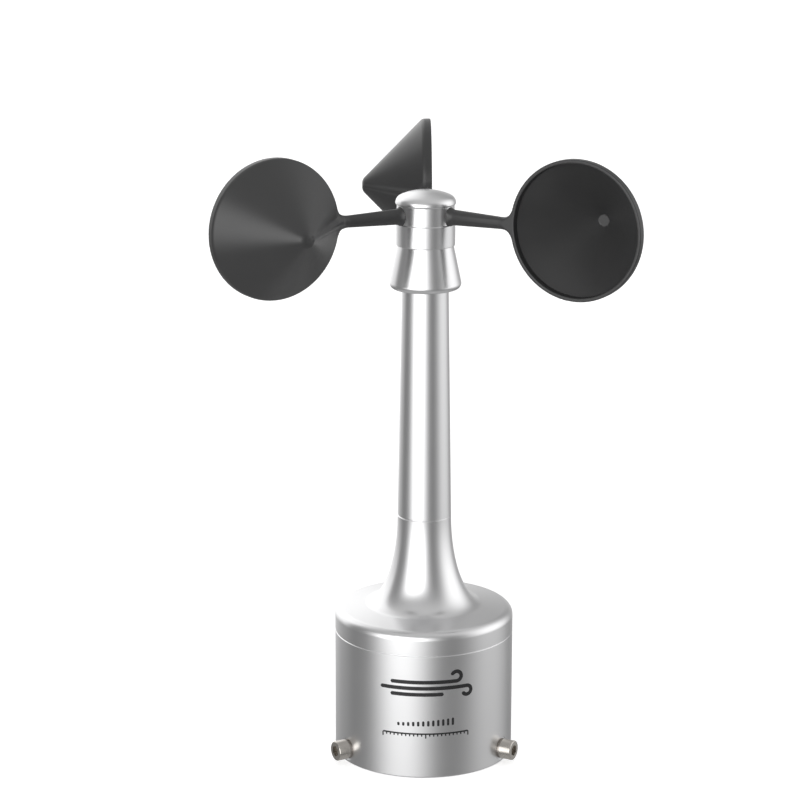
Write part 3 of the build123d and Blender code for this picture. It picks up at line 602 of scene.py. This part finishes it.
# ------------------------------------------------------------------ rotor skirt
# Bell-shaped skirt that turns with the shaft and hangs over the top of the column, so that
# rain can't reach the bearing. Turned, blasted and anodised like the housing.
skirt_low, skirt_high = (corner.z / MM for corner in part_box("rotor_skirt"))
skirt_top_radius = 13.8
skirt_lip_radius = 17.75
skirt_lip_height = 243.3
skirt_lip_bore = 15.0
skirt_web_height = 258.6
skirt_web_radius = 12.3
skirt_boss_radius = 5.3
shaft_bore = 4.01
skirt_corner = skirt_lip_radius + (skirt_lip_radius - skirt_top_radius) * (skirt_lip_height - skirt_low) / (
    skirt_high - skirt_lip_height
)
bearing_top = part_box("upper_bearing_inner_race")[1].z / MM
skirt = turned(
    "rain_skirt",
    rounded(
        [
            (skirt_top_radius, skirt_high, 0.25),
            (skirt_corner, skirt_low, 2.6),
            (skirt_lip_bore, skirt_low, 0.3),
            (skirt_web_radius, skirt_web_height, 0.8),
            (skirt_boss_radius, skirt_web_height, 0.3),
            (skirt_boss_radius, bearing_top, 0.1),
            (shaft_bore, bearing_top, 0.1),
            (shaft_bore, skirt_high, 0),
        ],
        steps=10,
    ),
)
even_normals(skirt)
dress(skirt, anodised)
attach(skirt, "rotor")
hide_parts("rotor_skirt")

# ------------------------------------------------------------------ arm hub
# Turned hub with a wider collar below and a stem that the three arms plug into. A cross pin
# in the shaft drives it, and the cap nut clamps it down.
stem_radius = 14.2
collar_radius = 14.6
hub_low, hub_high = (corner.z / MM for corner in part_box("arm_hub"))
collar_top = 272.9
stud_bore = 3.02
shaft_step = 266.0
hub = turned(
    "arm_boss",
    rounded(
        [
            (shaft_bore, hub_low, 0),
            (collar_radius, hub_low, 0.35),
            (collar_radius, collar_top, 0.3),
            (stem_radius, collar_top, 0.3),
            (stem_radius, hub_high, 0.2),
            (stud_bore, hub_high, 0.1),
            (stud_bore, shaft_step, 0),
            (shaft_bore, shaft_step, 0),
        ],
        steps=8,
    ),
)
even_normals(hub)
dress(hub, anodised)
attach(hub, "rotor")
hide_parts("arm_hub")

# ------------------------------------------------------------------ cap nut
# Domed nut, turned, blasted and anodised like the housing, that screws on the shaft's
# threaded end and covers the arm roots.
cap_radius = 14.9
cap_widest = 282.9
cap_rise = 6.3
cap_round = 4.0
cap_thread_depth = 5.0
cap_low, cap_high = (corner.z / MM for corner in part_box("cap_nut"))
round_centre = cap_radius - cap_round
dome_radius = (round_centre**2 + cap_rise**2 - cap_round**2) / (2 * (cap_rise - cap_round))
dome_centre = cap_widest + cap_rise - dome_radius
dome_edge = math.degrees(math.atan2(cap_widest - dome_centre, round_centre))
cap_under = cap_widest - cap_low
cap_outline = arc((0, dome_centre), dome_radius, 90, dome_edge, 30)
cap_outline[0] = (0.0, cap_high)
cap_outline += arc((round_centre, cap_widest), cap_round, dome_edge, 0, 16)[1:]
cap_outline += arc((cap_radius - cap_under, cap_widest), cap_under, 0, -90, 10)[1:]
cap_thread_top = cap_low + cap_thread_depth
cap_outline += [(stud_bore, cap_low), (stud_bore, cap_thread_top), (0.0, cap_thread_top)]
cap = turned("dome_cap", cap_outline)
even_normals(cap)
dress(cap, anodised)
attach(cap, "rotor")
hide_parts("cap_nut")

# ------------------------------------------------------------------ cups
# Each cup, its gusset and its arm are one moulding of dark fibre-filled plastic, satin with a
# fine grain. The shape is the zero surface of a distance field, so that arm, gusset and cone
# run into each other with moulded fillets.
cup_radius = 34.27
cup_band = 4.3
point_depth = 38.2
nose_depth = 35.45
nose_round = 1.2
lip_radius = 32.4
floor_depth = 33.0
floor_radius = 2.9
rim_round = 0.45
band_round = 0.8
arm_height = 277.1
cup_centre_radius = 82.9
toe_in = math.radians(3.07)
rotor_rest_angle = -3.1
arm_root_half = (3.95, 3.2)
arm_tip_half = (2.95, 2.3)
arm_root_swell = 0.9
arm_swell_length = 2.6
arm_tip_at = 44.0
arm_sink = 1.5
arm_root_sink = 0.9
arm_root_round = 0.3
flare_round = 5.0
gusset_start = np.array([36.8, 2.4])
gusset_end = np.array([3.1, 34.4])
gusset_half = (1.0, 0.6)
gusset_round = (3.6, 0.8)
field_step = 0.55
cone_length = math.hypot(cup_radius, point_depth - cup_band)
cone_across = (point_depth - cup_band) / cone_length
cone_along = cup_radius / cone_length


def soft_union(a, b, size):
    """Union of two distances with a fillet of the given radius where they meet."""
    corner = np.hypot(np.maximum(size - a, 0), np.maximum(size - b, 0))
    return np.maximum(size, np.minimum(a, b)) - corner


def soft_overlap(a, b, size):
    """Intersection of two distances with a rounding of the given radius on the edge."""
    corner = np.hypot(np.maximum(size + a, 0), np.maximum(size + b, 0))
    return np.minimum(-size, np.maximum(a, b)) + corner


def cup_distance(x, y, z):
    """Signed distance in millimetres. x runs from the rim's middle to the hub, y up, and z
    from the rim's plane to the cup's point."""
    across = np.hypot(x, y)
    cone = across * cone_across + (z - point_depth) * cone_along
    outside = soft_overlap(cone, z - nose_depth, nose_round)
    outside = soft_overlap(outside, across - cup_radius, band_round)
    hub_x = cup_centre_radius * math.cos(toe_in) - x
    hub_z = cup_centre_radius * math.sin(toe_in) - z
    from_hub = hub_x * math.cos(toe_in) + hub_z * math.sin(toe_in)
    sideways = hub_x * math.sin(toe_in) - hub_z * math.cos(toe_in)
    share = np.clip((from_hub - stem_radius) / (arm_tip_at - stem_radius), 0, 1.05)
    swell = arm_root_swell * np.clip(1 - (from_hub - stem_radius) / arm_swell_length, 0, 1.2) ** 2
    tall = arm_root_half[0] + (arm_tip_half[0] - arm_root_half[0]) * share + swell
    wide = arm_root_half[1] + (arm_tip_half[1] - arm_root_half[1]) * share + swell
    scaled = np.hypot(y / tall, sideways / wide) + 1e-9
    arm = scaled * (scaled - 1) / (np.hypot(y / tall**2, sideways / wide**2) + 1e-9)
    arm = np.maximum(arm, from_hub - (cup_centre_radius - cup_radius + arm_sink))
    arm = soft_overlap(arm, stem_radius - arm_root_sink - from_hub, arm_root_round)
    run = gusset_end - gusset_start
    gusset_x = x - gusset_start[0]
    gusset_z = z - gusset_start[1]
    part = np.clip((gusset_x * run[0] + gusset_z * run[1]) / (run @ run), 0, 1)
    gusset = np.sqrt((gusset_x - part * run[0]) ** 2 + y**2 + (gusset_z - part * run[1]) ** 2)
    gusset = gusset - gusset_half[0] - part * (gusset_half[1] - gusset_half[0])
    moulding = soft_union(outside, arm, flare_round)
    fillet = gusset_round[0] + part * (gusset_round[1] - gusset_round[0])
    moulding = soft_union(moulding, gusset, fillet)
    moulding = soft_overlap(moulding, -z, rim_round)
    hollow = np.maximum(across - lip_radius, (across - floor_radius + z - floor_depth) / math.sqrt(2))
    hollow = np.maximum(hollow, z - floor_depth)
    return soft_overlap(moulding, -hollow, rim_round)


def skin_of(distance, low, high, step):
    """Points and quads of the zero surface of a distance field, one point per crossed cell."""
    axes = [np.arange(low[k], high[k] + step, step) for k in range(3)]
    field = distance(*np.meshgrid(*axes, indexing="ij"))
    full = field < 0
    corners = [(i, j, k) for i in (0, 1) for j in (0, 1) for k in (0, 1)]
    size = [len(axis) - 1 for axis in axes]
    count = np.zeros(size, np.int8)
    for i, j, k in corners:
        count += full[i : i + size[0], j : j + size[1], k : k + size[2]]
    crossed = (count > 0) & (count < 8)
    cells = np.argwhere(crossed)
    number = np.full(size, -1)
    number[crossed] = np.arange(len(cells))
    total = np.zeros((len(cells), 3))
    hits = np.zeros((len(cells), 1))
    for a in corners:
        for k in range(3):
            if a[k] == 1:
                continue
            b = tuple(1 if m == k else a[m] for m in range(3))
            value_a = field[tuple((cells + a).T)]
            value_b = field[tuple((cells + b).T)]
            hit = (value_a < 0) != (value_b < 0)
            share = np.where(hit, value_a / np.where(hit, value_a - value_b, 1), 0)
            spot = np.array(a, float) + np.outer(share, np.array(b) - np.array(a))
            total += np.where(hit[:, None], spot, 0)
            hits += hit[:, None]
    points = (cells + total / hits) * step + np.array([axis[0] for axis in axes])
    quads = []
    for k in range(3):
        u, v = [m for m in range(3) if m != k]
        start = [slice(1, -1)] * 3
        start[k] = slice(0, -1)
        after = list(start)
        after[k] = slice(1, None)
        change = full[tuple(start)] != full[tuple(after)]
        filled = full[tuple(start)][change]
        at = np.argwhere(change) + np.array([0 if m == k else 1 for m in range(3)])
        ring = []
        for du, dv in ((1, 1), (0, 1), (0, 0), (1, 0)):
            shift = np.zeros(3, int)
            shift[u] = du
            shift[v] = dv
            ring.append(number[tuple((at - shift).T)])
        quad = np.stack(ring, axis=1)
        turned_over = filled if k != 1 else ~filled
        quad[~turned_over] = quad[~turned_over][:, ::-1]
        quads.append(quad)
    return points, np.concatenate(quads)


def slopes(distance, points, reach=0.02):
    """Direction of steepest growth of the distance at each point, and its size."""
    growth = np.zeros_like(points)
    for k in range(3):
        offset = np.zeros(3)
        offset[k] = reach
        growth[:, k] = distance(*(points + offset).T) - distance(*(points - offset).T)
    return growth / (2 * reach)


field_spare = 1.2
field_low = (-cup_radius - field_spare, -cup_radius - field_spare, -2 * field_spare)
field_high = (cup_centre_radius - stem_radius + 2.0, cup_radius + field_spare, point_depth)
cup_points, cup_quads = skin_of(cup_distance, field_low, field_high, field_step)
settling_rounds = 4
longest_pull = 0.3
for _ in range(settling_rounds):
    growth = slopes(cup_distance, cup_points)
    square = np.maximum((growth**2).sum(1), 0.25)
    pull = cup_distance(*cup_points.T) / square
    cup_points -= growth * np.clip(pull, -longest_pull, longest_pull)[:, None]
cup_normals = slopes(cup_distance, cup_points)
cup_normals /= np.linalg.norm(cup_normals, axis=1)[:, None]

cup_plastic = finish_with("fibre_filled_plastic", (0.040, 0.040, 0.0405), 0.0, 0.34, 0.30, 0.008, 0.12, 0.06)
arm_angles = [90.0, 210.0, 330.0]
for number, arm_angle in enumerate(arm_angles, start=1):
    turn = math.radians(arm_angle + rotor_rest_angle)
    outward = np.array([math.cos(turn), math.sin(turn), 0.0])
    forward = np.array([-math.sin(turn), math.cos(turn), 0.0])
    to_point = forward * math.cos(toe_in) - outward * math.sin(toe_in)
    to_hub = -(outward * math.cos(toe_in) + forward * math.sin(toe_in))
    cup_axes = np.stack([to_hub, [0.0, 0.0, 1.0], to_point])
    rim_middle = outward * cup_centre_radius + np.array([0.0, 0.0, arm_height])
    mesh = bpy.data.meshes.new(f"wind_cup_{number}")
    mesh.from_pydata(((cup_points @ cup_axes + rim_middle) * MM).tolist(), [], cup_quads.tolist())
    mesh.shade_smooth()
    mesh.normals_split_custom_set_from_vertices((cup_normals @ cup_axes).tolist())
    cup = bpy.data.objects.new(f"wind_cup_{number}", mesh)
    bpy.context.scene.collection.objects.link(cup)
    dress(cup, cup_plastic)
    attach(cup, "rotor")
    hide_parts(f"cup_{number}")

# ------------------------------------------------------------------ floor and backdrop
# Seamless white studio paper under the object and a white cloth round the stage.
paper = bpy.data.materials.new("studio_paper")
paper.use_nodes = True
paper_shader = paper.node_tree.nodes["Principled BSDF"]
paper_shader.inputs["Base Color"].default_value = (0.85, 0.85, 0.85, 1)
paper_shader.inputs["Roughness"].default_value = 0.9
paper_shader.inputs["Emission Color"].default_value = (1, 1, 1, 1)
paper_shader.inputs["Emission Strength"].default_value = 0.55


def stage_piece(name, work):
    """A part of the set, kept out of the object's reflections and shadows."""
    piece = add_piece(name, work)
    dress(piece, paper)
    piece.visible_glossy = False
    piece.visible_shadow = False
    piece.visible_diffuse = False
    return piece


stage_radius = 12.0
floor_work = bmesh.new()
bmesh.ops.create_circle(floor_work, cap_ends=True, segments=96, radius=stage_radius)
stage_piece("paper_floor", floor_work)
cloth_work = bmesh.new()
bmesh.ops.create_uvsphere(cloth_work, u_segments=48, v_segments=24, radius=stage_radius)
bmesh.ops.reverse_faces(cloth_work, faces=cloth_work.faces)
stage_piece("backdrop_cloth", cloth_work)

# ------------------------------------------------------------------ studio light
# Tall soft panels round the stage and one overhead, described by their direction seen from
# the object: the middle and half width in degrees, the lowest and highest edge, a soft border.
world = bpy.data.worlds.new("studio")
bpy.context.scene.world = world
world.use_nodes = True
air = Shade(world.node_tree)
way = air.node("ShaderNodeTexCoord", out="Generated")
way_x = air.node("ShaderNodeSeparateXYZ", {0: way})
way_y, way_z = (Shade(air.tree, way_x.socket.node.outputs[k]) for k in (1, 2))
in_degrees = 180 / math.pi
height_angle = air.maths("ARCSINE", way_z) * in_degrees


def soft_step(value, edge, border):
    """0 below the edge, 1 above it, with a soft border in degrees."""
    return value.node(
        "ShaderNodeMapRange",
        {0: value, 1: edge - border / 2, 2: edge + border / 2},
        interpolation_type="SMOOTHERSTEP",
    )


def panel(bearing, half_width, side_border, bottom, bottom_border, top, top_border, strength):
    """Light panel at a bearing counted from the front towards the right."""
    aim = math.radians(bearing)
    toward = way_x * math.sin(aim) - way_y * math.cos(aim)
    beside = way_x * math.cos(aim) + way_y * math.sin(aim)
    off = air.maths("ABSOLUTE", air.maths("ARCTAN2", beside, toward)) * in_degrees
    across = 1 - soft_step(off, half_width, side_border)
    above = soft_step(height_angle, bottom, bottom_border)
    below = 1 - soft_step(height_angle, top, top_border)
    return across * above * below * strength


key_panel = panel(-29, 29, 60, -17, 28, 27.5, 20, 2.75)
left_panel = panel(-146, 32, 20, -7, 50, 47, 50, 1.06)
right_panel = panel(95, 32.5, 60, -15, 50, 40, 60, 1.17)
back_panel = panel(-175, 30, 46, -19, 10, 15, 60, 0.6)
ceiling = soft_step(height_angle, 38, 60) * 0.38
table = (1 - soft_step(height_angle, -38, 20)) * 0.22
room = 0.22
light = key_panel + left_panel + right_panel + back_panel + ceiling + table + room
background = world.node_tree.nodes["Background"]
world.node_tree.links.new(light.socket, background.inputs["Color"])
background.inputs["Strength"].default_value = 1.0

# ------------------------------------------------------------------ camera
# Long lens a little above the object and slightly left of its front.
camera_data = bpy.data.cameras.new("camera")
camera_data.lens = 124.26
camera_data.sensor_width = 36.0
camera_data.clip_end = 60.0
camera = bpy.data.objects.new("camera", camera_data)
bpy.context.scene.collection.objects.link(camera)
camera_place = Vector((0.0004, -1.3318, 0.5249))
round_the_object = math.radians(-1.5)
pitch, yaw, roll = 0.2512, -0.0096, 0.0022
looking = Vector((math.sin(yaw) * math.cos(pitch), math.cos(yaw) * math.cos(pitch), -math.sin(pitch)))
level = Vector((math.cos(yaw), -math.sin(yaw), 0))
upright = level.cross(looking)
right = level * math.cos(roll) + upright * math.sin(roll)
up = upright * math.cos(roll) - level * math.sin(roll)
stance = Matrix((right, up, -looking)).transposed().to_4x4()
stance.translation = camera_place
camera.matrix_world = Matrix.Rotation(round_the_object, 4, "Z") @ stance
bpy.context.scene.camera = camera
bpy.context.scene.view_settings.view_transform = "Standard"
